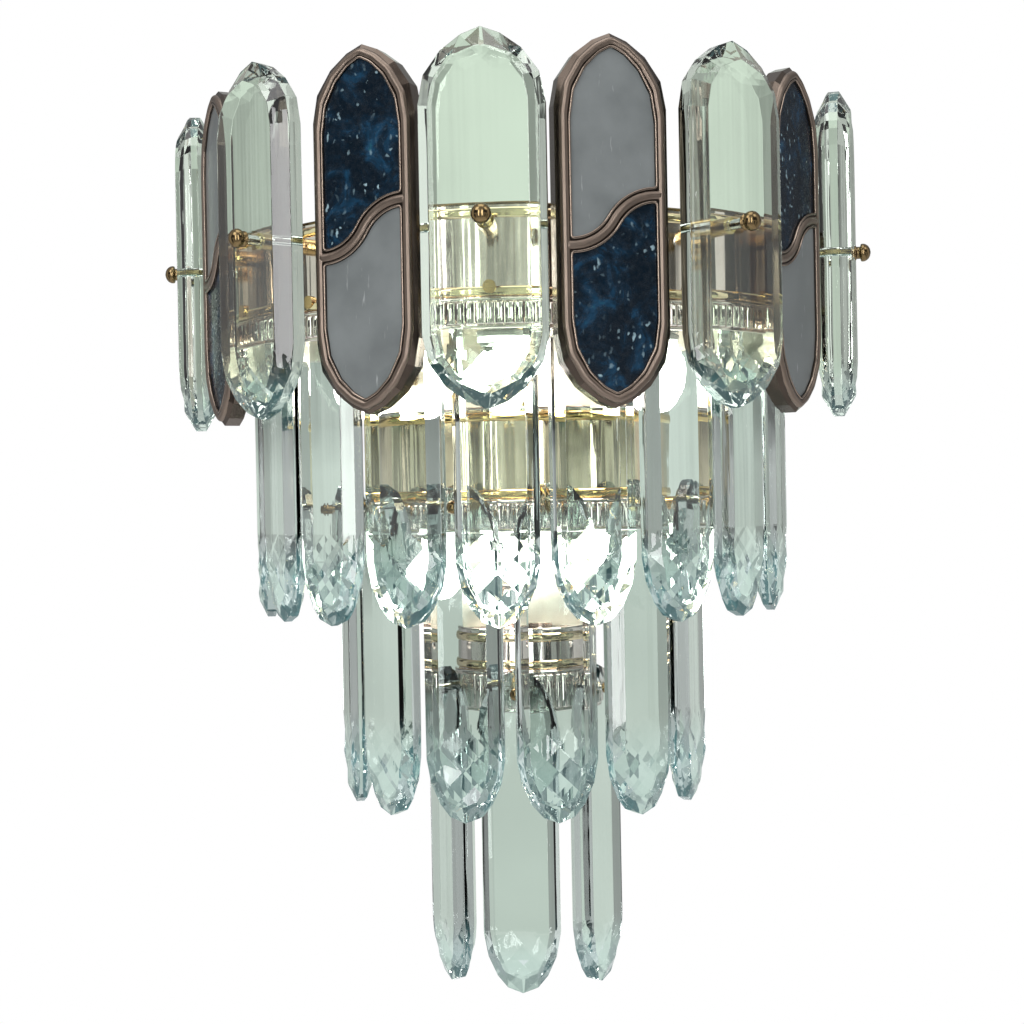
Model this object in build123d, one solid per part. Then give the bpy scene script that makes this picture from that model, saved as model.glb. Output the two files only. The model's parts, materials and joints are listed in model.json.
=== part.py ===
from build123d import *
from math import atan, cos, radians, sin, sqrt
import os

# Sheet metal and clearances
sheet = 1.5
weld_gap = 0.05
screw_gap = 0.1
run_gap = 0.08
side_gap = 0.3
inlay_gap = 0.15
overshoot = 1

# Back pan and wall
pan_depth = 10
pan_inset = 2
pan_corner = 6

# Tiers of glass, from the top down
tier_1_pin_z = 51
tier_1_pitch = 20
tier_1_count = 9
tier_1_gap = 2.77
panel_step = 9
tier_2_pitch = 18.9
tier_2_count = 9
tier_2_gap = 4.32
tier_3_pitch = 28.8
tier_3_count = 6
tier_3_gap = 5.03
tier_4_pitch = 60
tier_4_count = 3
tier_4_gap = 4
tier_drop = 90
last_drop = 87.5

# Upper glass bar
bar_width = 51
bar_length = 152
bar_arch = 30
bar_thick = 16
bar_edge = 6
bar_bevel = 6.5
bar_tip_drop = 9
bar_tip_rise = 3
bar_tip_half = 8

# Hanging glass bar
drop_width = 36
drop_arch = 28
drop_thick = 12
drop_edge = 5
drop_bevel = 5
drop_tip_drop = 7.5
drop_tip_rise = 2.4
drop_tip_half = 6
pin_below_top = 11

# Facet corners along an arched end, as shares of its height, and how full its curve is
facet_low = 0.38
facet_mid = 0.7
facet_high = 0.9
bar_curve_power = 2.2
bar_curve_root = 0.75
drop_curve_power = 1.6
drop_curve_root = 0.5

# Framed panel
panel_width = 48
panel_thick = 9
panel_chamfer = 2.6
panel_chamfer_deep = 2.2
panel_rim = 6
panel_lip = 1.2
panel_lip_high = 0.8
pocket_deep = 2.6
inlay_sunk = 0.4
divider_wide = 6.4
divider_rise = 21
divider_run = 37
stud_deep = 4

# Pins, sleeves and ball nuts
pin_r = 2
pin_head_r = 3.5
pin_head = 2.5
sleeve_wall = 1.6
ball_r = 4.4
ball_collar_r = 3.2
ball_collar = 1.6
drop_pin_r = 1.5
drop_head_r = 2.8
drop_head = 1.4
drop_ball_r = 3.2
drop_collar_r = 2.4
drop_collar = 1.2

# Drums and decks
drum_1_standoff = 10.2
drum_1_over = 9
drum_1_under = 16.3
drum_1_band = 11
drum_2_standoff = 13
drum_2_over = 44
drum_2_under = 11
drum_2_band = 13
drum_3_standoff = 9.5
drum_3_over = 28.5
drum_3_under = 9.5
drum_3_band = 18
band_out = 1.6
flange = 12
deck_1_inset = 24.8
deck_2_inset = 18.5
deck_up = 10
deck_lip = 10
deck_3_up = 28
lip_screw_share = 0.5
last_screw_share = 0.25
flange_screw_share = 0.2

# Screws
screw_r = 1.5
screw_head_r = 3
screw_head = 2.2
screw_behind = 4

# Lamps
bulb_count = 3
bulb_spread = 50
upper_bulb_inset = 13.5
lower_bulb_inset = 18
holder_r = 10
holder_flange_r = 13
holder_flange = 2
holder_below = 6
holder_above = 14
socket_wide = 15
socket_thick = 9
socket_deep = 13
bulb_r = 13
bulb_length = 36
bulb_neck = 1
base_gap = 0.3
contact_r = 0.6
contact_length = 5
contact_spread = 9
contact_root = 1

# Wiring
block_wide = 40
block_thick = 16
block_high = 14
block_from_pan = 22
lead_r = 1.2
lead_lift = 3
lead_share = 0.75
conduit_r = 5
conduit_bore = 3.9
conduit_from_pan = 13
conduit_up = 4
conduit_above_holders = 12
lead_spread = 2.55
block_lead_spread = 12
grommet_r = 7
grommet_bore = 4
grommet_lip = 1.5
grommet_edge = 1.5
grommet_clear = 1
earth_x = 36

# Wall bracket
bracket_clear = 4
bracket_height = 24
bracket_thick = 2
slot_spacing = 60
slot_length = 14
slot_width = 4.5
cable_hole_r = 9
stud_spacing = 100
stud_r = 2
stud_length = 19
cap_r = 4.2
cap_high = 6

# Heights and radii that follow from the sizes above
axis_y = -pan_depth


def ring_radius(step, pitch):
    """The radius on which pieces one chord apart stand at a pitch."""
    return step / 2 / sin(radians(pitch / 2))


upper_ring = ring_radius((bar_width + panel_width) / 2 + tier_1_gap, tier_1_pitch)
tier_1_radius = upper_ring + panel_step / 2
panel_radius = upper_ring - panel_step / 2
tier_2_radius = ring_radius(drop_width + tier_2_gap, tier_2_pitch)
tier_3_radius = ring_radius(drop_width + tier_3_gap, tier_3_pitch)
tier_4_radius = ring_radius(drop_width + tier_4_gap, tier_4_pitch)
drum_1_radius = tier_2_radius + drum_1_standoff
drum_2_radius = tier_3_radius - drum_2_standoff
drum_3_radius = tier_4_radius - drum_3_standoff
bracket_length = 2 * (drum_2_radius - pan_inset - sheet - bracket_clear)
deck_1_radius = tier_2_radius - deck_1_inset
deck_2_radius = tier_3_radius - deck_2_inset
upper_bulb_radius = deck_1_radius - upper_bulb_inset
lower_bulb_radius = deck_2_radius - lower_bulb_inset
tier_1_bottom = tier_1_pin_z - bar_length / 2
tier_2_bottom = tier_1_bottom - tier_drop
tier_3_bottom = tier_2_bottom - tier_drop
tier_4_bottom = tier_3_bottom - last_drop
pin_height = bar_length - pin_below_top
tier_2_pin_z = tier_2_bottom + pin_height
tier_3_pin_z = tier_3_bottom + pin_height
tier_4_pin_z = tier_4_bottom + pin_height
drum_1_top = tier_1_pin_z + drum_1_over
drum_1_bottom = tier_2_pin_z - drum_1_under
drum_2_top = tier_3_pin_z + drum_2_over
drum_2_bottom = tier_3_pin_z - drum_2_under
drum_3_top = tier_4_pin_z + drum_3_over
drum_3_bottom = tier_4_pin_z - drum_3_under
deck_1_z = drum_1_bottom + deck_up
deck_2_z = drum_2_bottom + deck_up
deck_3_z = drum_3_bottom + deck_3_up
top_z = drum_1_top - sheet
grommet_z = (deck_1_z + sheet + top_z) / 2
drum_1_inner = drum_1_radius - sheet
drum_2_inner = drum_2_radius - sheet
drum_3_inner = drum_3_radius - sheet


def spread(count, pitch):
    """Angles of pieces at one pitch, symmetric about the front."""
    return [(i - (count - 1) / 2) * pitch for i in range(count)]


def around(shape, angle, z):
    """A shape drawn about the common axis, turned to an angle and lifted to a height."""
    return Pos(0, axis_y, z) * Rot(0, 0, angle) * shape


def outward(shape, radius, angle, z):
    """A shape with its front along minus Y, set at a radius from the axis."""
    return around(Pos(0, -radius, 0) * shape, angle, z)


def rod(radius, start, end):
    """A round rod that runs outwards between two distances from the axis."""
    return Pos(0, -(start + end) / 2, 0) * Rot(90, 0, 0) * Cylinder(radius, end - start)


def pillar(radius, low, high):
    """A round upright between two heights."""
    return Pos(0, 0, (low + high) / 2) * Cylinder(radius, high - low)


def block(x0, x1, y0, y1, z0, z1):
    """A box given by its two corners."""
    size = Box(abs(x1 - x0), abs(y1 - y0), abs(z1 - z0))
    return Pos((x0 + x1) / 2, (y0 + y1) / 2, (z0 + z1) / 2) * size


def cut(shape, point, normal):
    """The part of a shape behind a plane."""
    return split(shape, bisect_by=Plane(origin=point, z_dir=normal), keep=Keep.BOTTOM)


def half_ring(outer, inner, low, high):
    """The front half of an upright ring about the common axis."""
    ring = pillar(outer, low, high) - pillar(inner, low, high)
    return Pos(0, axis_y, 0) * cut(ring, (0, 0, 0), (0, 1, 0))


def half_disc(radius, low, high):
    """The front half of a flat disc about the common axis."""
    return Pos(0, axis_y, 0) * cut(pillar(radius, low, high), (0, 0, 0), (0, 1, 0))


def one(shape):
    """The single solid of a shape."""
    return shape.solids()[0]


# Outlines with arched ends
bar_curve = (bar_curve_power, bar_curve_root)
drop_curve = (drop_curve_power, drop_curve_root)


def arched_quarter(width, length, arch, curve):
    """Corners of one quarter of a bar's outline, from its side up to its tip."""
    power, root = curve
    corners = []
    for share in (0, facet_low, facet_mid, facet_high, 1):
        x = width / 2 * (1 - share**power) ** root
        corners.append((x, length / 2 - arch * (1 - share)))
    return corners


def arched_outline(width, length, arch, curve):
    """The closed outline of a bar with two arched ends, as a face that looks along minus Y."""
    quarter = arched_quarter(width, length, arch, curve)
    upper = quarter + [(-x, z) for x, z in reversed(quarter[:-1])]
    lower = [(-x, -z) for x, z in upper]
    return make_face(Polyline(*upper, *lower, close=True))


def bevel_cuts(shape, width, length, arch, curve, edge, thick, bevel, faces, tips):
    """Cuts flat bevels along the sides, the shoulders and, if asked, the tips, on the stated faces."""
    quarter = arched_quarter(width, length, arch, curve)
    rise = (thick - edge) / 2
    runs = [((width / 2, 0), quarter[0])] + list(zip(quarter, quarter[1:]))
    for (x0, z0), (x1, z1) in runs if tips else runs[:-1]:
        long = sqrt((x1 - x0) ** 2 + (z1 - z0) ** 2)
        nx = (z1 - z0) / long
        nz = (x0 - x1) / long
        flips = (1,) if nz == 0 else (1, -1)
        for side in (1, -1):
            for end in flips:
                for face in faces:
                    point = (side * x0, face * edge / 2, end * z0)
                    normal = (side * nx * rise, face * bevel, end * nz * rise)
                    shape = cut(shape, point, normal)
    return shape


def tip_cuts(shape, length, edge, thick, drop, up, half):
    """Cuts two facets at each tip that meet on the centre line and dip into the face."""
    rise = (thick - edge) / 2
    for side in (1, -1):
        for end in (1, -1):
            for face in (1, -1):
                point = (0, face * edge / 2, end * length / 2)
                normal = (-side * rise * up, face * drop * half, end * rise * half)
                shape = cut(shape, point, normal)
    return shape


def glass_bar(width, length, arch, curve, thick, edge, bevel, drop, up, half, hole_r, hole_z):
    """A cut glass bar with its pin hole at the origin."""
    bar = extrude(Plane.XZ * arched_outline(width, length, arch, curve), thick / 2, both=True)
    bar = bevel_cuts(bar, width, length, arch, curve, edge, thick, bevel, (1, -1), False)
    bar = tip_cuts(bar, length, edge, thick, drop, up, half)
    return one(Pos(0, 0, -hole_z) * bar - rod(hole_r, -thick, thick))


def upper_bar():
    """An upper bar, held at mid height."""
    tip = (bar_tip_drop, bar_tip_rise, bar_tip_half)
    sizes = (bar_width, bar_length, bar_arch, bar_curve, bar_thick, bar_edge, bar_bevel)
    return glass_bar(*sizes, *tip, pin_r + run_gap, 0)


def hanging_bar():
    """A hanging bar, held near its top."""
    tip = (drop_tip_drop, drop_tip_rise, drop_tip_half)
    sizes = (drop_width, bar_length, drop_arch, drop_curve, drop_thick, drop_edge, drop_bevel)
    return glass_bar(*sizes, *tip, drop_pin_r + run_gap, bar_length / 2 - pin_below_top)


# Framed panels with an S-shaped divider
def divider_edge(offset):
    """One edge of the divider: two arcs that meet on the centre line, drawn out level on both sides."""
    turn = 2 * atan(divider_rise / divider_run)
    bend = divider_run / 2 / sin(turn)
    low = bend - offset
    high = bend + offset
    half_x = divider_run / 2
    half_z = divider_rise / 2
    far = panel_width
    mid = (-offset * sin(turn), offset * cos(turn))
    half_turn = turn / 2
    left_x = -half_x + low * sin(half_turn)
    left_z = -half_z + bend - low * cos(half_turn)
    right_x = half_x - high * sin(half_turn)
    right_z = half_z - bend + high * cos(half_turn)
    start = (-half_x, -half_z + offset)
    end = (half_x, half_z + offset)
    first = ThreePointArc(start, (left_x, left_z), mid)
    second = ThreePointArc(mid, (right_x, right_z), end)
    return first, second, (-far, start[1]), (far, end[1]), start, end


def panel_opening(inset):
    """The outline of the panel's opening, at a distance inside its edge."""
    return arched_outline(panel_width - 2 * inset, bar_length - 2 * inset, bar_arch, bar_curve)


def pocket_faces(inset, half_band):
    """The upper and lower opening on either side of the divider."""
    faces = []
    for side in (1, -1):
        first, second, left, right, start, end = divider_edge(side * half_band)
        edge_z = side * bar_length
        ring = Line(left, start) + first + second + Line(end, right)
        ring += Polyline(right, (right[0], edge_z), (left[0], edge_z), left)
        faces.append(panel_opening(inset) & make_face(ring))
    return faces


def panel_frame():
    """A panel's frame: a chamfered plate with two pockets, each with a raised lip."""
    front = panel_thick / 2
    outline = (panel_width, bar_length, bar_arch, bar_curve)
    plate = extrude(Plane.XZ * arched_outline(*outline), front, both=True)
    slim = panel_thick - 2 * panel_chamfer_deep
    plate = bevel_cuts(plate, *outline, slim, panel_thick, panel_chamfer, (-1,), True)
    pockets = pocket_faces(panel_rim, divider_wide / 2)
    rims = pocket_faces(panel_rim - panel_lip, divider_wide / 2 - panel_lip)
    for rim in rims:
        plate += extrude(Plane.XZ.offset(front - panel_lip_high) * rim, 2 * panel_lip_high)
    for pocket in pockets:
        plate -= extrude(Plane.XZ.offset(front - pocket_deep) * pocket, 2 * pocket_deep)
    return one(plate - rod(pin_r + weld_gap, -panel_thick, stud_deep - front + weld_gap))


def panel_inlays():
    """The upper and lower inlay of a panel."""
    floor = panel_thick / 2 - pocket_deep
    tall = pocket_deep - inlay_sunk
    faces = pocket_faces(panel_rim + inlay_gap, divider_wide / 2 + inlay_gap)
    return [one(extrude(Plane.XZ.offset(floor) * face, tall)) for face in faces]


# Pins, sleeves and ball nuts
def seat(radius, across):
    """How far a flat head stands off inside a round wall."""
    return radius - sqrt(radius**2 - across**2) + weld_gap


def pin_from_inside(r, head_r, head, wall_inner, end):
    """A pin with its head inside a round wall, that runs outwards."""
    start = wall_inner - seat(wall_inner, head_r)
    return one(rod(head_r, start - head, start) + rod(r, start - head / 2, end))


def pin_from_outside(r, head_r, head, wall_outer, end):
    """A pin with its head outside a round wall, that runs inwards."""
    start = wall_outer + weld_gap
    return one(rod(head_r, start, start + head) + rod(r, end, start + head / 2))


def sleeve(r, start, end):
    """A spacer sleeve on a pin."""
    return one(rod(r + sleeve_wall, start, end) - rod(r + screw_gap, start - overshoot, end + overshoot))


def ball_nut(r, big_r, collar_r, collar, start, way):
    """A ball nut that starts at a distance from the axis, runs out or in and has a blind hole."""
    centre = start + way * (collar + big_r)
    low, high = sorted((start, centre))
    ball = rod(collar_r, low, high) + Pos(0, -centre, 0) * Sphere(big_r)
    low, high = sorted((start - way * overshoot, centre + way * weld_gap))
    return one(ball - rod(r + weld_gap, low, high))


# Tiers: angle lists first, then the holes that their pins need
tier_1_angles = spread(tier_1_count, tier_1_pitch)
glass_angles = tier_1_angles[0::2]
panel_angles = tier_1_angles[1::2]
tier_2_angles = spread(tier_2_count, tier_2_pitch)
tier_3_angles = spread(tier_3_count, tier_3_pitch)
tier_4_angles = spread(tier_4_count, tier_4_pitch)


def pin_holes(wall, angles, z, r, inner):
    """Drills one hole for each pin through a round wall."""
    for angle in angles:
        wall -= around(rod(r + screw_gap, inner - sheet, inner + 2 * sheet + band_out), angle, z)
    return wall


# Places of the screws on the back pan
def drum_screws(inner, low, high):
    """Centres of the four screws that hold one drum by its flanges."""
    inset = (high - low) * flange_screw_share
    return [(side * (inner - flange / 2), z) for side in (1, -1) for z in (low + inset, high - inset)]


def lip_screws(radius, share, z):
    """Centres of the two screws that hold one deck's lip."""
    return [(side * radius * share, z) for side in (1, -1)]


half_lip = sheet + deck_lip / 2
screw_places = drum_screws(drum_1_inner, drum_1_bottom, drum_1_top)
screw_places += drum_screws(drum_2_inner, drum_2_bottom, drum_2_top)
screw_places += drum_screws(drum_3_inner, drum_3_bottom, drum_3_top)
screw_places += lip_screws(drum_1_inner, lip_screw_share, top_z - deck_lip / 2)
screw_places += lip_screws(deck_1_radius, lip_screw_share, deck_1_z + half_lip)
screw_places += lip_screws(deck_2_radius, lip_screw_share, deck_2_z + half_lip)
screw_places += lip_screws(drum_3_inner, last_screw_share, deck_3_z + half_lip)


def screw_holes(shape):
    """Drills the clearance holes of the pan screws through a shape."""
    for x, z in screw_places:
        shape -= Pos(x, 0, z) * rod(screw_r + screw_gap, -pan_depth, 3 * pan_depth)
    return shape


def pan_screw():
    """A pan screw with its head on the inner sheet."""
    face = pan_depth + sheet
    head = rod(screw_head_r, face, face + screw_head)
    return one(head + rod(screw_r, pan_depth - sheet - screw_behind, face + screw_head / 2))


# Drums, decks and pan
def drum(inner, low, high, band):
    """A rolled half drum with a thicker band along its lower edge and two inward flanges."""
    outer = inner + sheet
    shell = half_ring(outer, inner, low, high) + half_ring(outer + band_out, inner, low, low + band)
    for side in (1, -1):
        near = side * (inner - flange)
        far = side * (inner + sheet / 2)
        shell += block(near, far, axis_y, axis_y - sheet, low, high)
    return screw_holes(shell)


def deck(radius, z, lip_z):
    """A half-round deck with a lip along the pan up or down to a height."""
    plate = half_disc(radius, z, z + sheet)
    reach = radius - flange - 2 * sheet
    return plate + block(-reach, reach, axis_y, axis_y - sheet, z + sheet / 2, lip_z)


def notched(plate, inner, z):
    """A deck notched for the flanges and screw heads of the drum round it."""
    deep = sheet + screw_head + side_gap
    for side in (1, -1):
        near = side * (inner - flange - side_gap)
        far = side * (inner + sheet)
        plate -= block(near, far, axis_y + overshoot, axis_y - deep, z - overshoot, z + 2 * sheet)
    return plate


def bulb_places(radius):
    """Centres of the bulbs of one drum."""
    spots = []
    for angle in spread(bulb_count, bulb_spread):
        spots.append((radius * sin(radians(angle)), axis_y - radius * cos(radians(angle))))
    return spots


upper_bulbs = bulb_places(upper_bulb_radius)
lower_bulbs = bulb_places(lower_bulb_radius)


def holder_holes(plate, spots):
    """Cuts one round hole for each lampholder through a deck."""
    for x, y in spots:
        plate -= Pos(x, y, 0) * pillar(holder_r + screw_gap, drum_3_bottom, drum_1_top)
    return plate


def lampholder(x, y, z):
    """A ceramic holder hung through its deck, with a socket from below."""
    low = z - holder_below
    high = z + sheet + holder_above
    body = pillar(holder_r, low, high) + pillar(holder_flange_r, z + sheet, z + sheet + holder_flange)
    wide = socket_wide / 2
    thick = socket_thick / 2
    body -= block(-wide, wide, -thick, thick, low, low + socket_deep)
    for side in (1, -1):
        contact = pillar(contact_r + base_gap, low, low + socket_deep + contact_length + base_gap)
        body -= Pos(side * contact_spread / 2, 0, 0) * contact
    return one(Pos(x, y, 0) * body)


def bulb(x, y, z):
    """A plug-in bulb: a round-ended capsule, its flat base and two contact pins."""
    low = z - holder_below
    top = low - bulb_neck
    body = pillar(bulb_r, top - bulb_length + bulb_r, top)
    body += Pos(0, 0, top - bulb_length + bulb_r) * Sphere(bulb_r)
    wide = socket_wide / 2 - base_gap
    thick = socket_thick / 2 - base_gap
    roof = low + socket_deep - base_gap
    body += block(-wide, wide, -thick, thick, top - bulb_neck, roof)
    for side in (1, -1):
        contact = pillar(contact_r, roof - contact_root, roof + contact_length)
        body += Pos(side * contact_spread / 2, 0, 0) * contact
    return one(Pos(x, y, 0) * body)


def back_pan():
    """A shallow pan, stepped inwards downwards like the drums on it, open towards the wall."""
    right = [
        (drum_1_radius - pan_inset, drum_1_top),
        (drum_1_radius - pan_inset, drum_1_bottom),
        (drum_2_radius - pan_inset, drum_1_bottom),
        (drum_2_radius - pan_inset, drum_2_bottom),
        (drum_3_radius - pan_inset, drum_2_bottom),
        (drum_3_radius - pan_inset, drum_3_bottom),
    ]
    outline = right + [(-x, z) for x, z in reversed(right)]
    face = make_face(Polyline(*outline, close=True))
    face = fillet(face.vertices(), pan_corner)
    inner = offset(face, -sheet)
    pan = extrude(Plane.XZ * face, pan_depth) - extrude(Plane.XZ * inner, pan_depth - sheet)
    for side in (1, -1):
        pan -= Pos(side * stud_spacing / 2, 0, 0) * rod(stud_r + screw_gap, 0, 2 * pan_depth)
    pan -= Pos(0, 0, grommet_z) * rod(grommet_r, 0, 2 * pan_depth)
    pan -= Pos(earth_x, 0, grommet_z) * rod(screw_r + screw_gap, 0, 2 * pan_depth)
    return one(screw_holes(pan))


def wall_bracket():
    """A flat strap against the wall with two slots, two stud holes and a cable hole."""
    half = bracket_length / 2
    strap = block(-half, half, -bracket_thick, 0, -bracket_height / 2, bracket_height / 2)
    for side in (1, -1):
        slot = SlotOverall(slot_length, slot_width)
        strap -= Pos(side * slot_spacing / 2, 0, 0) * extrude(Plane.XZ * slot, 2 * bracket_thick, both=True)
        strap -= Pos(side * stud_spacing / 2, 0, 0) * rod(stud_r + weld_gap, -overshoot, pan_depth)
    return one(strap - rod(cable_hole_r, -overshoot, pan_depth))


def cap_nut():
    """A domed nut on the front of the pan."""
    start = pan_depth
    nut = rod(cap_r, start, start + cap_high) + Pos(0, -start - cap_high, 0) * Sphere(cap_r)
    return one(nut - rod(stud_r + weld_gap, 0, stud_length + weld_gap))


# Leads
def wire(path):
    """A round lead along a path."""
    start = Plane(origin=path @ 0, z_dir=path % 0)
    return one(sweep(start * Circle(lead_r), path=path))


block_front = axis_y - block_from_pan - block_thick
block_back = axis_y - block_from_pan
block_low = deck_1_z + sheet
lead_z = block_low + block_high * lead_share
upper_holder_top = deck_1_z + sheet + holder_above
lower_holder_top = deck_2_z + sheet + holder_above
conduit_y = axis_y - conduit_from_pan
conduit_top = deck_1_z + sheet + conduit_up
conduit_low = lower_holder_top + conduit_above_holders
down = (0, 0, -1)


def upper_lead(index):
    """A lead from the terminal block over to an upper lampholder."""
    x, y = upper_bulbs[index]
    start = (block_lead_spread * (index - 1), block_front, lead_z)
    over = (x, y, upper_holder_top + lead_lift)
    curve = Spline(start, over, tangents=[(0, -1, 0), down])
    return wire(curve + Line(over, (x, y, upper_holder_top)))


def lower_lead(index):
    """A lead from the terminal block down the conduit to a lower lampholder."""
    x, y = lower_bulbs[index]
    start = (block_lead_spread * (index - 1), block_back, lead_z)
    tube_x = lead_spread * (index - 1)
    high = (tube_x, conduit_y, conduit_top + lead_r)
    low = (tube_x, conduit_y, conduit_low - lead_r)
    into = Spline(start, high, tangents=[(0, 1, 0), down])
    out = Spline(low, (x, y, lower_holder_top), tangents=[down, down])
    return wire(into + Line(high, low) + out)


# Every node by name
nodes = {}
nodes["back_pan"] = [back_pan()]
nodes["wall_bracket"] = [wall_bracket()]
studs = []
caps = []
for side in (1, -1):
    studs.append(Pos(side * stud_spacing / 2, 0, 0) * one(rod(stud_r, 0, stud_length)))
    caps.append(Pos(side * stud_spacing / 2, 0, 0) * cap_nut())
nodes["bracket_studs"] = studs
nodes["wall_cap_nuts"] = caps

upper = drum(drum_1_inner, drum_1_bottom, drum_1_top, drum_1_band)
upper = pin_holes(upper, tier_1_angles, tier_1_pin_z, pin_r, drum_1_inner)
nodes["upper_drum"] = [one(pin_holes(upper, tier_2_angles, tier_2_pin_z, drop_pin_r, drum_1_inner))]
middle = drum(drum_2_inner, drum_2_bottom, drum_2_top, drum_2_band)
nodes["middle_drum"] = [one(pin_holes(middle, tier_3_angles, tier_3_pin_z, drop_pin_r, drum_2_inner))]
lower = drum(drum_3_inner, drum_3_bottom, drum_3_top, drum_3_band)
nodes["lower_drum"] = [one(pin_holes(lower, tier_4_angles, tier_4_pin_z, drop_pin_r, drum_3_inner))]
inlet_room = rod(grommet_r + grommet_edge + grommet_clear, 0, 2 * pan_depth)
inlet_room = Pos(0, 0, grommet_z) * inlet_room
top_plate = deck(drum_1_inner - weld_gap, top_z, top_z - deck_lip) - inlet_room
nodes["top_plate"] = [one(screw_holes(notched(top_plate, drum_1_inner, top_z)))]
upper_deck = holder_holes(deck(deck_1_radius, deck_1_z, deck_1_z + sheet + deck_lip), upper_bulbs)
upper_deck -= inlet_room
upper_deck -= Pos(0, conduit_y, 0) * pillar(conduit_r + weld_gap, drum_1_bottom, drum_1_top)
nodes["upper_deck"] = [one(screw_holes(upper_deck))]
middle_deck = holder_holes(deck(deck_2_radius, deck_2_z, deck_2_z + sheet + deck_lip), lower_bulbs)
nodes["middle_deck"] = [one(screw_holes(notched(middle_deck, drum_2_inner, deck_2_z)))]
lower_deck = deck(drum_3_inner - weld_gap, deck_3_z, deck_3_z + sheet + deck_lip)
nodes["lower_deck"] = [one(screw_holes(notched(lower_deck, drum_3_inner, deck_3_z)))]
nodes["pan_screws"] = [Pos(x, 0, z) * pan_screw() for x, z in screw_places]

nodes["lampholders"] = [lampholder(x, y, deck_1_z) for x, y in upper_bulbs]
nodes["lampholders"] += [lampholder(x, y, deck_2_z) for x, y in lower_bulbs]
for i in range(bulb_count):
    nodes[f"upper_bulb_{i + 1}"] = [bulb(*upper_bulbs[i], deck_1_z)]
    nodes[f"lower_bulb_{i + 1}"] = [bulb(*lower_bulbs[i], deck_2_z)]

nodes["terminal_block"] = [
    block(-block_wide / 2, block_wide / 2, block_front, block_back, block_low, block_low + block_high)
]
tube = pillar(conduit_r, conduit_low, conduit_top) - pillar(conduit_bore, conduit_low, conduit_top)
nodes["conduit_tube"] = [one(Pos(0, conduit_y, 0) * tube)]
nodes["lamp_leads"] = [upper_lead(i) for i in range(bulb_count)]
nodes["lamp_leads"] += [lower_lead(i) for i in range(bulb_count)]
grommet_back = pan_depth - sheet - grommet_lip
ring = rod(grommet_r + grommet_edge, pan_depth, pan_depth + grommet_lip)
ring += rod(grommet_r - weld_gap, grommet_back, pan_depth)
ring += rod(grommet_r + grommet_edge, grommet_back, pan_depth - sheet)
nodes["cable_grommet"] = [one(Pos(0, 0, grommet_z) * (ring - rod(grommet_bore, 0, 2 * pan_depth)))]
earth = rod(screw_head_r, pan_depth, pan_depth + screw_head)
earth += rod(screw_r, pan_depth - sheet - screw_behind, pan_depth + screw_head / 2)
nodes["earth_screw"] = [one(Pos(earth_x, 0, grommet_z) * earth)]

# Upper tier: five bars on pins and four panels
pins = []
sleeves = []
balls = []
upper_glass = upper_bar()
back_face = tier_1_radius - bar_thick / 2
front_face = tier_1_radius + bar_thick / 2
nut_start = front_face + side_gap
upper_pin_end = nut_start + ball_collar + ball_r
upper_pin = pin_from_inside(pin_r, pin_head_r, pin_head, drum_1_inner, upper_pin_end)
upper_sleeve = sleeve(pin_r, drum_1_radius + weld_gap, back_face - side_gap)
upper_ball = ball_nut(pin_r, ball_r, ball_collar_r, ball_collar, nut_start, 1)
for i, angle in enumerate(glass_angles):
    nodes[f"upper_glass_{i + 1}"] = [outward(upper_glass, tier_1_radius, angle, tier_1_pin_z)]
    pins.append(around(upper_pin, angle, tier_1_pin_z))
    sleeves.append(around(upper_sleeve, angle, tier_1_pin_z))
    balls.append(around(upper_ball, angle, tier_1_pin_z))

frame = panel_frame()
inlays = panel_inlays()
panel_back = panel_radius - panel_thick / 2
panel_pin_end = panel_back + stud_deep
panel_pin = pin_from_inside(pin_r, pin_head_r, pin_head, drum_1_inner, panel_pin_end)
panel_sleeve = sleeve(pin_r, drum_1_radius + weld_gap, panel_back)
nodes["blue_inlays"] = []
nodes["grey_inlays"] = []
for i, angle in enumerate(panel_angles):
    nodes[f"panel_frame_{i + 1}"] = [outward(frame, panel_radius, angle, tier_1_pin_z)]
    pins.append(around(panel_pin, angle, tier_1_pin_z))
    sleeves.append(around(panel_sleeve, angle, tier_1_pin_z))
    first, second = [outward(inlay, panel_radius, angle, tier_1_pin_z) for inlay in inlays]
    nodes["blue_inlays"].append(second if i % 2 == 0 else first)
    nodes["grey_inlays"].append(first if i % 2 == 0 else second)


# Hanging tiers
drop_glass = hanging_bar()
half_drop = drop_thick / 2 + side_gap


def hang(name, angles, radius, z, pin, spacer, nut):
    """One tier of hanging bars with its pins, sleeves and nuts."""
    for i, angle in enumerate(angles):
        nodes[f"{name}_{i + 1}"] = [outward(drop_glass, radius, angle, z)]
        pins.append(around(pin, angle, z))
        sleeves.append(around(spacer, angle, z))
        balls.append(around(nut, angle, z))


def hang_inside(name, angles, radius, z, wall):
    """A tier whose bars hang inside a drum, with pin heads outside it and nuts on the inner side."""
    start = radius - half_drop
    end = start - drop_collar - drop_ball_r
    pin = pin_from_outside(drop_pin_r, drop_head_r, drop_head, wall + sheet, end)
    spacer_end = wall - seat(wall, drop_pin_r + sleeve_wall)
    spacer = sleeve(drop_pin_r, radius + half_drop, spacer_end)
    nut = ball_nut(drop_pin_r, drop_ball_r, drop_collar_r, drop_collar, start, -1)
    hang(name, angles, radius, z, pin, spacer, nut)


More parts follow.
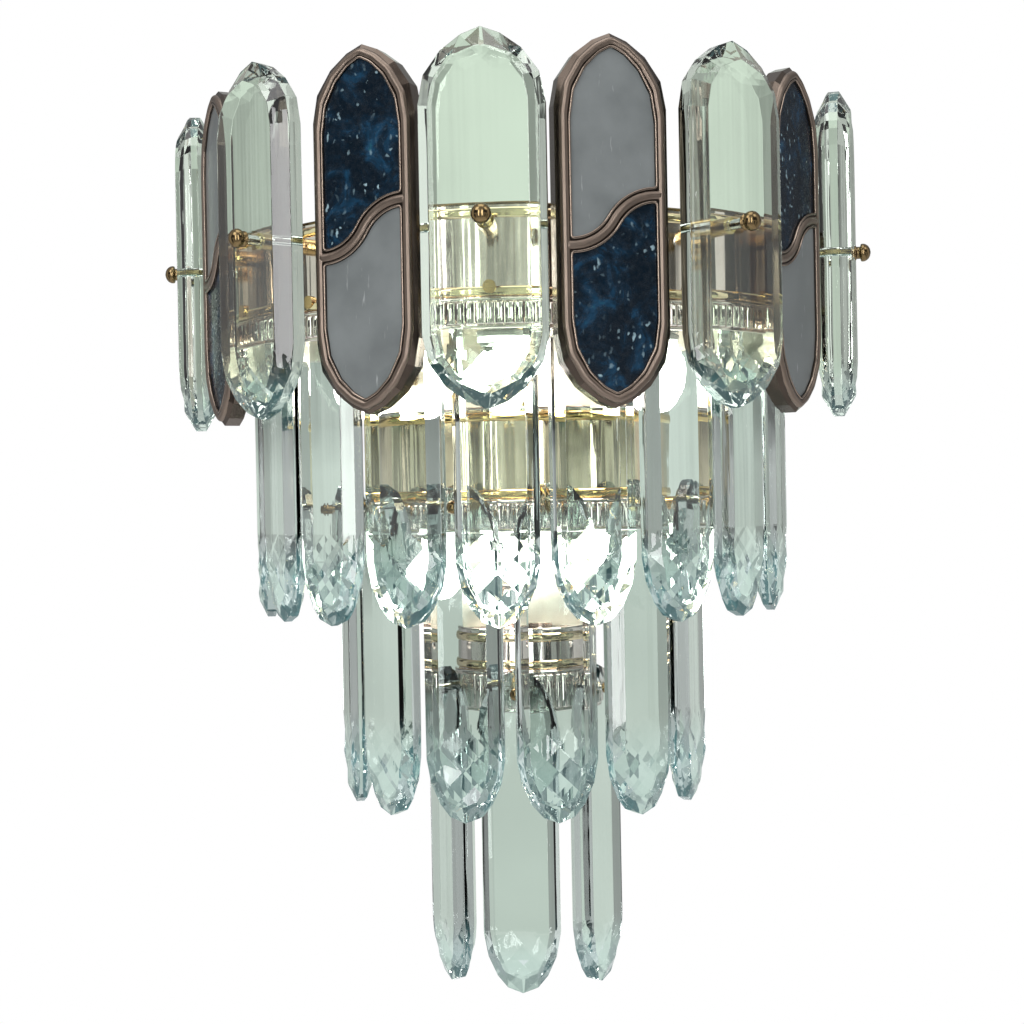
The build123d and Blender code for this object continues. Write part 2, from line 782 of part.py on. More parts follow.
def hang_outside(name, angles, radius, z, wall):
    """A tier whose bars hang outside a drum's band, with their nuts on the outer side."""
    start = radius + half_drop
    end = start + drop_collar + drop_ball_r
    pin = pin_from_inside(drop_pin_r, drop_head_r, drop_head, wall, end)
    spacer = sleeve(drop_pin_r, wall + sheet + band_out + weld_gap, radius - half_drop)
    nut = ball_nut(drop_pin_r, drop_ball_r, drop_collar_r, drop_collar, start, 1)
    hang(name, angles, radius, z, pin, spacer, nut)


hang_inside("second_glass", tier_2_angles, tier_2_radius, tier_2_pin_z, drum_1_inner)
hang_outside("third_glass", tier_3_angles, tier_3_radius, tier_3_pin_z, drum_2_inner)
hang_outside("bottom_glass", tier_4_angles, tier_4_radius, tier_4_pin_z, drum_3_inner)
nodes["threaded_pins"] = pins
nodes["spacer_sleeves"] = sleeves
nodes["ball_nuts"] = balls

os.makedirs("parts", exist_ok=True)
for name, solids in nodes.items():
    export_step(Compound(solids), f"parts/{name}.step")
print(len(nodes), "nodes")
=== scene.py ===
import json
from math import radians

import bmesh
import bpy
import numpy as np
from bpy.props import FloatProperty, FloatVectorProperty, PointerProperty
from mathutils import Matrix, Vector


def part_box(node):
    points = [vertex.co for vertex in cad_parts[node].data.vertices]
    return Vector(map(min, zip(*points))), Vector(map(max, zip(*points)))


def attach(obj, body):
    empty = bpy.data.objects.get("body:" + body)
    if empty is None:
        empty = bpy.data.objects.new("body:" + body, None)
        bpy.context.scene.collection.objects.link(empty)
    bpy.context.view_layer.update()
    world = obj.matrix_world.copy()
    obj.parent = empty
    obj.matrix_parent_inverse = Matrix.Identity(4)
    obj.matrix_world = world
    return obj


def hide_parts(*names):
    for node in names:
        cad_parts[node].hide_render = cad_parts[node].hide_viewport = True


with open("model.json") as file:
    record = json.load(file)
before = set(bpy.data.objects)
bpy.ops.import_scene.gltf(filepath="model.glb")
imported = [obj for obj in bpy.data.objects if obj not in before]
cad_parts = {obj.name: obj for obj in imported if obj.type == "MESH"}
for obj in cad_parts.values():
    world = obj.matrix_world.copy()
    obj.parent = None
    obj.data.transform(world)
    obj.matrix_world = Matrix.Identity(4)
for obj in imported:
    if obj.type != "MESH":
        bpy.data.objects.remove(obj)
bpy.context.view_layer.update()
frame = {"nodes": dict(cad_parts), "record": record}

bl_info = {
    "name": "Tiered Glass Wall Lamp",
    "version": (1, 0, 0),
    "blender": (4, 5, 0),
    "location": "View3D > Sidebar > Wall Lamp",
    "description": "Dresses a tiered glass wall lamp with its finishes and small pieces",
    "category": "Object",
}

NODES = frame["nodes"]
MM = 0.001  # bars, stage and patterns are in metres, all other surfaces in millimetres
AXIS_Y = -10.0  # the lamp's upright axis lies this far before the wall, in millimetres

# Cuts near the bars' tips, in metres
CUT_STEP = 0.0115  # between two cuts of the same slant
BAR_HALF_WIDTH = 0.026
FULL_CUT = 0.55  # share of a zone in which the cuts keep their full depth
CROWN_ZONE = (-0.016, 0.15)  # reach and share of depth at the upper tips of the upper bars


# Surfaces
def skin(points, wrap_u=False, wrap_v=False, cap_u=False):
    """Triangles over a grid of points (u, v), wrapped round either way; cap_u closes u's ends with fans.

    A closed skin whose volume, a sixth of the sum of its triangles' triple products, is negative is
    turned outwards.
    """
    n, m = points.shape[:2]
    u, v = np.arange(n if wrap_u else n - 1), np.arange(m if wrap_v else m - 1)
    i, j = np.meshgrid(u, v, indexing="ij")
    i2, j2 = (i + 1) % n, (j + 1) % m
    quads = np.stack([i * m + j, i2 * m + j, i2 * m + j2, i * m + j2], -1).reshape(-1, 4)
    faces = [quads[:, [0, 1, 2]], quads[:, [0, 2, 3]]]
    corners = [points.reshape(-1, 3)]
    if cap_u:
        ring, step = np.arange(m), np.roll(np.arange(m), -1)
        last = (n - 1) * m
        faces.append(np.stack([0 * ring + n * m, ring, step], -1))
        faces.append(np.stack([0 * ring + n * m + 1, last + step, last + ring], -1))
        corners.append(points[[0, -1]].mean(1))
    corners, faces = np.concatenate(corners), np.concatenate(faces)
    first, second, third = corners[faces].swapaxes(0, 1)
    inside_out = (cap_u or wrap_u and wrap_v) and np.vdot(first, np.cross(second, third)) < 0
    return corners, faces[:, ::-1] if inside_out else faces


def closed(points):
    """A skin wrapped round in v, with both ends of u closed."""
    return skin(points, wrap_v=True, cap_u=True)


def piece(name, parts, body, material, smooth=True, replaces=()):
    """Joins skins in millimetres into one piece in metres that rides on a body."""
    start = np.cumsum([0] + [len(points) for points, _ in parts])
    points = np.concatenate([points for points, _ in parts]) * MM
    faces = np.concatenate([faces + first for (_, faces), first in zip(parts, start)])
    mesh = bpy.data.meshes.new(name)
    mesh.from_pydata(points, [], faces)
    mesh.polygons.foreach_set("use_smooth", np.full(len(mesh.polygons), smooth))
    mesh.materials.append(material)
    mesh.update()
    made = bpy.data.objects.new(name, mesh)
    bpy.context.scene.collection.objects.link(made)
    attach(made, body)
    if replaces:
        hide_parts(*replaces)
    return made


def placed(points, radius, angle, z):
    """Moves points that face minus Y out to a radius, an angle and a height about the lamp's axis."""
    a = np.radians(angle)
    x, y = points[..., 0], points[..., 1] - radius
    moved_x = x * np.cos(a) - y * np.sin(a)
    moved_y = AXIS_Y + x * np.sin(a) + y * np.cos(a)
    return np.stack([moved_x, moved_y, points[..., 2] + z], -1)


def tube(path, across, rise, radius, sides):
    """A circle carried along a path: each ring lies in the plane of the two given side directions."""
    turn = np.linspace(0, 2 * np.pi, sides, endpoint=False)[None, :, None]
    return path[:, None, :] + radius * (np.cos(turn) * across[:, None, :] + np.sin(turn) * rise[:, None, :])


def even(path, step):
    """Points along a path at an even step, by arc length."""
    length = np.concatenate([[0], np.cumsum(np.linalg.norm(np.diff(path, axis=0), axis=1))])
    at = np.linspace(0, length[-1], max(3, int(length[-1] / step) + 1))
    return np.stack([np.interp(at, length, path[:, k]) for k in range(path.shape[1])], -1)


# Node trees
class Nodes:
    """A node tree under construction."""

    def __init__(self, tree):
        self.tree = tree

    def add(self, kind, settings=None, **sockets):
        """Adds a node, with its settings and its sockets given by name."""
        node = self.tree.nodes.new(kind)
        for key, value in (settings or {}).items():
            setattr(node, key, value)
        for key, value in sockets.items():
            self.feed(node.inputs[key.replace("_", " ")], value)
        return node

    def feed(self, socket, value):
        """Links an output to a socket, or sets the socket's own value."""
        if isinstance(value, bpy.types.NodeSocket):
            self.tree.links.new(value, socket)
        else:
            socket.default_value = value

    def ramp(self, factor, *stops):
        """A colour ramp of stops (position, colour)."""
        node = self.add("ShaderNodeValToRGB", Fac=factor)
        points = node.color_ramp.elements
        while len(points) < len(stops):
            points.new(0.5)
        for point, (position, colour) in zip(points, stops):
            point.position = position
            point.color = (*colour, 1.0)
        return node.outputs["Color"]

    def span(self, factor, low, high, start, end):
        """Maps a factor from start..end to low..high."""
        sockets = {"From_Min": start, "From_Max": end, "To_Min": low, "To_Max": high}
        return self.add("ShaderNodeMapRange", Value=factor, **sockets).outputs["Result"]

    def mix(self, factor, first, second, blend="MIX"):
        """Mixes two colours."""
        node = self.add("ShaderNodeMix", {"data_type": "RGBA", "blend_type": blend})
        self.feed(node.inputs[0], factor)
        for socket, colour in ((6, first), (7, second)):
            linked = isinstance(colour, bpy.types.NodeSocket)
            self.feed(node.inputs[socket], colour if linked else (*colour, 1.0))
        return node.outputs[2]

    def mix_shaders(self, factor, first, second):
        """Mixes two shaders."""
        node = self.add("ShaderNodeMixShader", Fac=factor)
        self.feed(node.inputs[1], first)
        self.feed(node.inputs[2], second)
        return node.outputs[0]

    def calc(self, operation, first, second):
        """One sum on two factors."""
        node = self.add("ShaderNodeMath", {"operation": operation})
        self.feed(node.inputs[0], first)
        self.feed(node.inputs[1], second)
        return node.outputs[0]


class Finish(Nodes):
    """A node material under construction, whose patterns read Object coordinates."""

    def __init__(self, name):
        self.mat = bpy.data.materials.new(name)
        self.mat.use_nodes = True
        super().__init__(self.mat.node_tree)
        self.shader = self.tree.nodes["Principled BSDF"]
        self.place = self.add("ShaderNodeTexCoord").outputs["Object"]

    def set(self, **sockets):
        """Sets or links sockets of the shader."""
        for key, value in sockets.items():
            self.feed(self.shader.inputs[key.replace("_", " ")], value)

    def noise(self, scale, detail=3.0, rough=0.5, twist=0.0, at=None):
        """Noise at a scale per metre."""
        sockets = {"Scale": scale, "Detail": detail, "Roughness": rough, "Distortion": twist}
        return self.add("ShaderNodeTexNoise", Vector=at or self.place, **sockets).outputs["Fac"]

    def stretch(self, z):
        """Object coordinates scaled along Z: below one, patterns are drawn out upwards."""
        return self.add("ShaderNodeMapping", Vector=self.place, Scale=(1.0, 1.0, z)).outputs["Vector"]

    def bump(self, height, depth):
        """Bump from a height, with a depth in metres, over any bump that is there already."""
        node = self.add("ShaderNodeBump", Height=height, Distance=depth)
        normal = self.shader.inputs["Normal"]
        if normal.is_linked:
            self.feed(node.inputs["Normal"], normal.links[0].from_socket)
        self.feed(normal, node.outputs["Normal"])


# Materials
def shade(colour, factor):
    """A colour scaled in brightness."""
    return tuple(min(1.0, part * factor) for part in colour)


def cut_glass(name, tint, tip, reach):
    """Clear cut glass: a slowly drifting tint, drawn streaks, hairline wear and a faint painted aqua glow
    near the tips.
    """
    made = Finish(name)
    drift = made.noise(18.0, 2.0)
    height = made.add("ShaderNodeSeparateXYZ", Vector=made.place).outputs["Z"]
    made.set(
        Base_Color=made.ramp(drift, (0.35, shade(tint, 0.96)), (0.65, shade(tint, 1.04))),
        Transmission_Weight=1.0,
        IOR=1.5,
        Roughness=made.span(made.noise(900.0, 4.0), 0.0, 0.02, 0.45, 0.8),
        # Painted glow: a faint aqua emission within half the cuts' reach of a tip, fading out by their full
        # reach; the glass is no lamp
        Emission_Color=(0.45, 0.95, 1.0, 1.0),
        Emission_Strength=made.span(height, 0.05, 0.0, tip + reach * 0.5, tip + reach),
    )
    made.bump(made.noise(60.0, 1.0), 0.00006)
    made.bump(made.noise(150.0, 2.0, at=made.stretch(0.03)), 0.00012)
    return made.mat


def polished_metal(name, colour, low, high, ripple, rolled=0.0):
    """Polished plate: tarnish clouds, wiping marks in the gloss, an uneven sheet, upright roll marks.

    The roughness lies between low and high; ripple and rolled are depths in metres.
    """
    made = Finish(name)
    cloud = made.noise(35.0, 5.0, 0.6)
    wiped = made.noise(400.0, 6.0, 0.65, at=made.stretch(0.15))
    made.set(
        Base_Color=made.ramp(cloud, (0.3, shade(colour, 0.86)), (0.55, colour), (0.8, shade(colour, 1.08))),
        Metallic=1.0,
        Roughness=made.span(wiped, low, high, 0.3, 0.75),
    )
    made.bump(made.noise(45.0, 2.0), ripple)
    if rolled:
        made.bump(made.noise(110.0, 2.0, 0.6, at=made.stretch(0.06)), rolled)
    return made.mat


def plain_body(name, colour, low, high, grain, depth):
    """A dull or glazed body with fine grain, given per metre and by its depth in metres."""
    made = Finish(name)
    speck = made.noise(grain, 4.0, 0.6)
    made.set(
        Base_Color=made.ramp(speck, (0.3, shade(colour, 0.9)), (0.7, colour)),
        Roughness=made.span(made.noise(grain * 0.4, 3.0), low, high, 0.3, 0.7),
    )
    made.bump(speck, depth)
    return made.mat


def blue_flake(name, deep, mid, teal, fleck):
    """Dark blue pressed stone: clouds of blue and teal with broken light flecks, under a clear gloss."""
    made = Finish(name)
    cloud = made.noise(75.0, 6.0, 0.65, 0.8)
    body = made.ramp(cloud, (0.45, deep), (0.56, shade(mid, 0.3)), (0.68, mid), (0.8, teal))
    drift = made.add("ShaderNodeTexNoise", Vector=made.place, Scale=160.0, Detail=4.0).outputs["Color"]
    warped = made.add("ShaderNodeMix", {"data_type": "VECTOR"})
    for socket, value in ((0, 0.006), (4, made.stretch(0.6)), (5, drift)):
        made.feed(warped.inputs[socket], value)
    shard = made.add("ShaderNodeTexVoronoi", {"feature": "F1"}, Vector=warped.outputs[1], Scale=520.0)
    draw = made.add("ShaderNodeSeparateColor", Color=shard.outputs["Color"]).outputs["Red"]
    chance = made.span(draw, 0.0, 1.0, 0.7, 0.92)
    inside = made.span(shard.outputs["Distance"], 1.0, 0.0, 0.2, 0.42)
    sparse = made.span(made.noise(60.0, 3.0), 0.05, 1.0, 0.42, 0.62)
    light = made.calc("MULTIPLY", made.calc("MULTIPLY", chance, inside), sparse)
    grit = made.noise(420.0, 5.0, 0.7)
    made.set(
        Base_Color=made.mix(light, body, fleck),
        Roughness=made.span(grit, 0.14, 0.34, 0.3, 0.7),
        Specular_IOR_Level=0.35,
        Coat_Weight=0.2,
        Coat_Roughness=0.06,
    )
    made.bump(grit, 0.00005)
    return made.mat


def grey_stone(name, colour, scratch):
    """Smooth grey stone: soft clouds, faint pale scratches running one way."""
    made = Finish(name)
    cloud = made.noise(55.0, 5.0, 0.55)
    body = made.ramp(cloud, (0.3, shade(colour, 0.88)), (0.7, shade(colour, 1.12)))
    thread = made.noise(500.0, 3.0, 0.6, at=made.stretch(0.12))
    made.set(
        Base_Color=made.mix(made.span(thread, 0.0, 0.5, 0.66, 0.8), body, scratch),
        Roughness=made.span(cloud, 0.3, 0.5, 0.3, 0.7),
        Coat_Weight=0.3,
        Coat_Roughness=0.15,
    )
    made.bump(cloud, 0.0001)
    return made.mat


def lit_opal(name, colour, strength):
    """A lit opal bulb: brighter where its envelope is thin."""
    made = Finish(name)
    cloud = made.noise(120.0, 2.0)
    made.set(
        Base_Color=made.ramp(cloud, (0.3, (0.92, 0.92, 0.9)), (0.7, (0.97, 0.97, 0.95))),
        Roughness=made.span(cloud, 0.35, 0.5, 0.3, 0.7),
        Emission_Color=made.ramp(cloud, (0.3, shade(colour, 0.94)), (0.7, colour)),
        Emission_Strength=strength,
    )
    return made.mat


def dress(material, *names):
    """Gives CAD nodes a material in all their slots."""
    for name in names:
        for slot in NODES[name].material_slots:
            slot.material = material


def tier(prefix):
    """Names of the nodes that start with a prefix."""
    return sorted(name for name in NODES if name.startswith(prefix))


def hinges():
    """The bars' pins: name of the bar, place in metres and direction."""
    joints = [joint for joint in frame["record"]["behaviour"]["joints"] if joint["type"] == "hinge"]
    return [(joint["child"], np.array(joint["pos_m"]), np.array(joint["axis"])) for joint in joints]


# Glass bars
def soften(bar, width):
    """Polishes a bar's cut edges: joins its triangles and bevels each edge between facets."""
    bar.modifiers.new("join", "WELD").merge_threshold = 0.00001
    edge = bar.modifiers.new("polish", "BEVEL")
    edge.width = width
    edge.segments = 2
    edge.limit_method = "ANGLE"
    edge.angle_limit = radians(8)


def cut_bar(name, centre, out, zones, width):
    """A polished bar with diamonds cut near its tips, as points in millimetres and triangles.

    A copy of the solid is split by slanting planes at even steps. Each point near a tip then moves
    towards the bar's middle by a share of its depth: the mean of two triangle waves along the slants,
    which fades out over the reach of the cuts. A zone is a tip's height, a reach and a share.
    """
    bar = NODES[name]
    soften(bar, width)
    solid = bpy.data.meshes.new_from_object(bar.evaluated_get(bpy.context.evaluated_depsgraph_get()))
    bar.modifiers.clear()
    split = bmesh.new()
    split.from_mesh(solid)
    side, up = np.array([-out[1], out[0], 0.0]), (0, 0, 1)
    for tip, reach, _ in zones:
        step = np.sign(reach) * CUT_STEP
        count = int((abs(reach) + BAR_HALF_WIDTH) / CUT_STEP) + 1
        planes = [(up, tip + reach * share) for share in (1.0, FULL_CUT)]
        planes += [(side * slant + up, tip + step * k) for slant in (1, -1) for k in range(count)]
        for normal, height in planes:
            everything = [*split.verts, *split.edges, *split.faces]
            place = (centre[0], centre[1], height)
            bmesh.ops.bisect_plane(split, geom=everything, dist=1e-7, plane_co=place, plane_no=normal)
    bmesh.ops.remove_doubles(split, verts=split.verts, dist=1e-5)
    bmesh.ops.triangulate(split, faces=split.faces)
    split.to_mesh(solid)
    split.free()
    points = np.empty(len(solid.vertices) * 3)
    solid.vertices.foreach_get("co", points)
    faces = np.empty(len(solid.loops), dtype=int)
    solid.loops.foreach_get("vertex_index", faces)
    bpy.data.meshes.remove(solid)
    points = points.reshape(-1, 3)
    across, depth = (points - centre) @ side, (points - centre) @ out
    sunk = np.zeros(len(points))
    for tip, reach, share in zones:
        rise = (points[:, 2] - tip) * np.sign(reach)
        waves = [np.abs((across + slant * rise) / CUT_STEP % 2 - 1) for slant in (1, -1)]
        fade = np.clip((abs(reach) - rise) / (abs(reach) * (1 - FULL_CUT)), 0, 1)
        sunk += share * fade * (waves[0] + waves[1]) / 2
    return (points - (depth * sunk)[:, None] * out) / MM, faces.reshape(-1, 3)


# Sizes and colours that a user may change
class GlassSettings(bpy.types.PropertyGroup):
    upper_tint: FloatVectorProperty(
        name="Upper tint", description="Tint of the upper bars",
        subtype="COLOR", default=(0.755, 0.85, 0.75), min=0, max=1,
    )
    lower_tint: FloatVectorProperty(
        name="Lower tint", description="Tint of the hanging bars",
        subtype="COLOR", default=(0.7, 0.775, 0.745), min=0, max=1,
    )
    edge: FloatProperty(
        name="Edge", description="Width of the polish on a bar's edges",
        default=0.0005, unit="LENGTH", min=0.0001,
    )


class MetalSettings(bpy.types.PropertyGroup):
    gold: FloatVectorProperty(
        name="Gold", description="Colour of the drums' sheet and the panels' back plates",
        subtype="COLOR", default=(1.0, 0.83, 0.74), min=0, max=1,
    )
    brass: FloatVectorProperty(
        name="Brass", description="Colour of the turned nuts and pins",
        subtype="COLOR", default=(0.2, 0.142, 0.07), min=0, max=1,
    )
    bronze: FloatVectorProperty(
        name="Bronze", description="Colour of the panel frames",
        subtype="COLOR", default=(0.105, 0.083, 0.068), min=0, max=1,
    )


class InlaySettings(bpy.types.PropertyGroup):
    blue: FloatVectorProperty(
        name="Blue", description="Colour of the blue inlays",
        subtype="COLOR", default=(0.006, 0.038, 0.08), min=0, max=1,
    )
    grey: FloatVectorProperty(
        name="Grey", description="Colour of the grey inlays",
        subtype="COLOR", default=(0.128, 0.142, 0.144), min=0, max=1,
    )


class LampSettings(bpy.types.PropertyGroup):
    glow: FloatVectorProperty(
        name="Glow", description="Colour of the lit bulbs",
        subtype="COLOR", default=(1.0, 0.97, 0.92), min=0, max=1,
    )
    strength: FloatProperty(name="Strength", description="Brightness of the lit bulbs", default=14.0, min=0)


class StageSettings(bpy.types.PropertyGroup):
    floor_z: FloatProperty(
        name="Floor height", description="Height of the floor under the lamp", default=-0.5, unit="LENGTH"
    )
    floor_radius: FloatProperty(
        name="Floor radius", description="Half the width of the floor, over which it fades",
        default=0.6, unit="LENGTH",
    )


# Panels, in millimetres and degrees
PANEL_ANGLES = (-60.0, -20.0, 20.0, 60.0)
PANEL_RADIUS, PANEL_Z = 146.0, 51.0
PANEL_HALF_WIDTH, PANEL_HALF_LENGTH, PANEL_ARCH = 24.0, 76.0, 30.0
DIVIDER_HALF_X, DIVIDER_HALF_Z = 18.5, 10.5
DIVIDER_END = 20.0  # half the length of the divider's moulding
PATH_STEP = 0.7
# Rings of the back plate: inset, distance behind the panel's middle and share of the outline's size
BACK_RINGS = (
    (3.0, 4.3, 1.0), (3.0, 4.8, 1.0), (3.4, 5.1, 1.0), (6.6, 5.1, 1.0),
    (7.4, 4.75, 1.0), (7.4, 4.75, 0.66), (7.4, 4.75, 0.33), (7.4, 4.75, 0.02),
)


def arch(inset):
    """Upper half of a panel's outline, moved inwards: up the right side, over the tip, down the left.

    From the spring to the tip, x is half the width times (1 - s^2.2)^0.75.
    """
    share = np.array([0, 0.38, 0.7, 0.9, 1.0])
    x = (PANEL_HALF_WIDTH - inset) * (1 - share**2.2) ** 0.75
    side = np.stack([x, PANEL_HALF_LENGTH - inset - PANEL_ARCH * (1 - share)], -1)
    return np.concatenate([side, side[-2::-1] * [-1, 1]])


def outline(inset):
    """The closed outline of a panel, moved inwards: the arch, then the same arch turned round."""
    return np.concatenate([arch(inset), -arch(inset)])


def divider(offset, half_width):
    """The S-shaped divider, moved by an offset: an arc that curls up, then an arc that levels out."""
    half_x, half_z = DIVIDER_HALF_X, DIVIDER_HALF_Z
    turn = 2 * np.arctan(half_z / half_x)
    bend = half_x / np.sin(turn)
    t = np.linspace(0, turn, 24)
    low, high = bend - offset, bend + offset
    first = np.stack([-half_x + low * np.sin(t), -half_z + bend - low * np.cos(t)], -1)
    t = t[::-1]
    second = np.stack([half_x - high * np.sin(t), half_z - bend + high * np.cos(t)], -1)
    start, end = [[-half_width, -half_z + offset]], [[half_width, half_z + offset]]
    return np.concatenate([start, first, second[1:], end])


def carried(path, along, radius, stand):
    """A circle carried along a flat path on a panel's front, at a distance before its middle."""
    along = along / np.linalg.norm(along, axis=1)[:, None]
    nothing = np.zeros(len(path))
    line = np.stack([path[:, 0], nothing - stand, path[:, 1]], -1)
    across = np.stack([along[:, 1], nothing, -along[:, 0]], -1)
    return tube(line, across, np.stack([nothing, nothing - 1, nothing], -1), radius, 14)


def flat_bead(path, radius, stand):
    """A circle carried along a closed flat path, whose corners are eased by a running mean."""
    path = even(np.concatenate([path, path[:1]]), PATH_STEP)[:-1]
    path = sum(np.roll(path, shift, 0) for shift in (-2, -1, 0, 1, 2)) / 5
    return carried(path, np.roll(path, -1, 0) - np.roll(path, 1, 0), radius, stand)


def bead(inset, half_band, radius, stand, way):
    """A bead round a pocket: along the divider, up one side and over the arch; way -1 turns it round."""
    pocket = np.concatenate([divider(half_band, PANEL_HALF_WIDTH - inset), arch(inset)])
    return flat_bead(pocket * way, radius, stand)


def divider_moulding(radius, stand):
    """The rounded S of a panel: a circle carried along the divider, with its ends in the frame."""
    path = even(divider(0.0, DIVIDER_END), PATH_STEP)
    return carried(path, np.gradient(path, axis=0), radius, stand)


def back_plate():
    """A pressed plate on a panel's back, with a raised border and a sunk field."""
    rings = []
    for inset, depth, share in BACK_RINGS:
        x, z = (outline(inset) * share).T
        rings.append(np.stack([x, np.full_like(x, depth), z], -1))
    return np.stack(rings)


# Drums, in millimetres: height of the bead over each band; and the tint that each drum's sheet takes, a
# painted reflection: darker and greyer on the upper drum, more yellow on the middle, paler on the lower
BAND_HEIGHTS = {"upper": 11.0, "middle": 13.0, "lower": 18.0}
SHEET_REFLECTION_TINTS = {"upper": (0.84, 0.87, 0.93), "middle": (1.0, 1.05, 0.84), "lower": (1.0, 1.08, 1.14)}


def flutes(radius, low, high, pitch, depth):
    """A fluted strip round a drum's band: the radius swells by the root of a half wave for each flute."""
    root, ease = 0.6, 0.7
    count = int(round(np.pi * radius / pitch))
    end = np.pi / 2 - 0.006
    a = np.linspace(-end, end, count * 10 + 1)
    swell = depth * np.abs(np.sin((a + np.pi / 2) * count)) ** 0.7
    rings = [(radius - root, low), (radius + swell * 0.3, low), (radius + swell, low + ease)]
    rings += [(radius + swell, high - ease), (radius + swell * 0.3, high), (radius - root, high)]
    return np.stack([np.stack([r * np.sin(a), AXIS_Y - r * np.cos(a), z + 0 * a], -1) for r, z in rings], 1)


def hoop_bead(radius, z, thick, tall=None):
    """A bead along the front half of a drum: a circle or ellipse carried along a half circle."""
    a = np.radians(np.linspace(-89.6, 89.6, 181))
    out = np.stack([np.sin(a), -np.cos(a), 0 * a], -1)
    path = out * radius + np.array([0, AXIS_Y, z])
    return tube(path, out, np.tile([0.0, 0.0, (tall or thick) / thick], (len(a), 1)), thick, 12)


def drum_trim(radius, bottom, top, band):
    """The trim of a drum: a rim, beads at both edges of its band, hoops on its wall and a fluted strip."""
    return {
        "drum_rim": [hoop_bead(radius - 2.35, top, 0.9)],
        "drum_beads": [hoop_bead(radius - 0.4, bottom + band, 0.8), hoop_bead(radius - 0.5, bottom, 0.7)],
        "drum_hoops": [hoop_bead(radius - 1.7, z, 1.1, 2.2) for z in (bottom + band + 3.4, top - 3.6)],
        "band_flutes": [flutes(radius, bottom + 0.8, bottom + band - 0.9, pitch=4.2, depth=1.1)],
    }


# Bulbs, in millimetres
BULB_HEIGHT = 36.0  # glass and ring
RING_HEIGHT, RING_GRIP, RING_RADIUS = 3.0, 3.4, 10.2
GLASS_RADIUS, COLLAR_RADIUS = 13.0, 9.6
COLLAR_SHARE = 0.4  # share of the glass that swells from the collar
PLUG_WIDTH, PLUG_DEPTH = 14.4, 8.4
CONTACT_LENGTH, CONTACT_X = 5.0, 4.5
CONTACT_GAP, CONTACT_WIRE = 0.3, 0.26
SUNK = 1.0  # how far plug and contacts reach into what holds them


def turned(profile, sides, centre):
    """A profile of (radius, height) turned about an upright axis."""
    a = np.linspace(0, 2 * np.pi, sides, endpoint=False)
    r, z = profile[:, 0, None], profile[:, 1, None]
    return np.stack([centre[0] + r * np.cos(a), centre[1] + r * np.sin(a), z + 0 * a], -1)


def globe(centre, top, length, radius, collar):
    """An opal envelope: its radius swells from the collar as a smooth step, then closes as an ellipse."""
    t = np.linspace(0, 1, 40)
    rise = np.clip(t / COLLAR_SHARE, 0, 1)
    swell = collar + (radius - collar) * rise**2 * (3 - 2 * rise)
    close = radius * np.sqrt(np.clip(1 - ((t - COLLAR_SHARE) / (1 - COLLAR_SHARE)) ** 2, 0, 1))
    r = np.where(t < COLLAR_SHARE, swell, np.maximum(close, 0.02))
    return turned(np.stack([r, top - length * t], -1), 40, centre)


def cap(centre, low, high, radius):
    """A ring at the bulb's neck with rounded rims: the radius falls off as a power at both ends."""
    t = np.linspace(-1, 1, 17)
    r = radius - np.abs(t) ** 6
    return turned(np.stack([r, (low + high) / 2 + t * (high - low) / 2], -1), 40, centre)


def plug(centre, low, high, wide, thick):
    """A flat plug base: a super-ellipse of power five carried upwards, drawn in at its top."""
    a = np.linspace(0, 2 * np.pi, 48, endpoint=False)
    x = wide / 2 * np.sign(np.cos(a)) * np.abs(np.cos(a)) ** 0.4
    y = thick / 2 * np.sign(np.sin(a)) * np.abs(np.sin(a)) ** 0.4
    rings = ((low, 1), (high - 1.2, 1), (high - 0.4, 0.96), (high, 0.88))
    return np.stack([np.stack([centre[0] + x * d, centre[1] + y * d, z + 0 * x], -1) for z, d in rings])


def contact(centre, low, high, gap, wire):
    """A contact loop: a thin wire up one leg, round a half circle and down the other."""
    t = np.linspace(0, np.pi, 13)
    y = np.concatenate([[gap], gap * np.cos(t), [-gap]])
    z = np.concatenate([[low], high - wire - gap + gap * np.sin(t), [low]])
    path = np.stack([centre[0] + 0 * y, centre[1] + y, z], -1)
    along = np.gradient(path, axis=0)
    along /= np.linalg.norm(along, axis=1)[:, None]
    side = np.tile([1.0, 0.0, 0.0], (len(path), 1))
    return tube(path, side, np.cross(along, side), wire, 8)


# Screws and nuts, in millimetres
HEAD_RADIUS, HEAD_HEIGHT = 3.0, 2.2
SHANK_RADIUS, THREAD_PITCH = 1.5, 0.7
PAN_SCREW = (11.5, 7.0)  # distance of the head's seat from the wall, and length
EARTH_SCREW = (10.0, 5.5)
DRUM_WALL = 3.1  # a drum's band and sheet
FLANGE_MIDDLE, LIP_MIDDLE = 6, 5.0  # screws on flanges and lips, from the sheet they are bent from
SHEET = 1.5
PLATE_PLAY = 0.05  # between the top plate and its drum
UPPER_NUT = (8.3, 1.0)  # distance of the bar's face from its middle, and size of the nut
LOWER_NUT = (6.3, 0.76)
# Washer, neck and rim of a nut: radius and height
NUT_STEPS = (
    (3.2, 0), (3.4, 0.15), (3.4, 0.75), (2.9, 0.85), (2.8, 2.4), (3.0, 2.7), (3.9, 2.95), (4.12, 3.3),
)


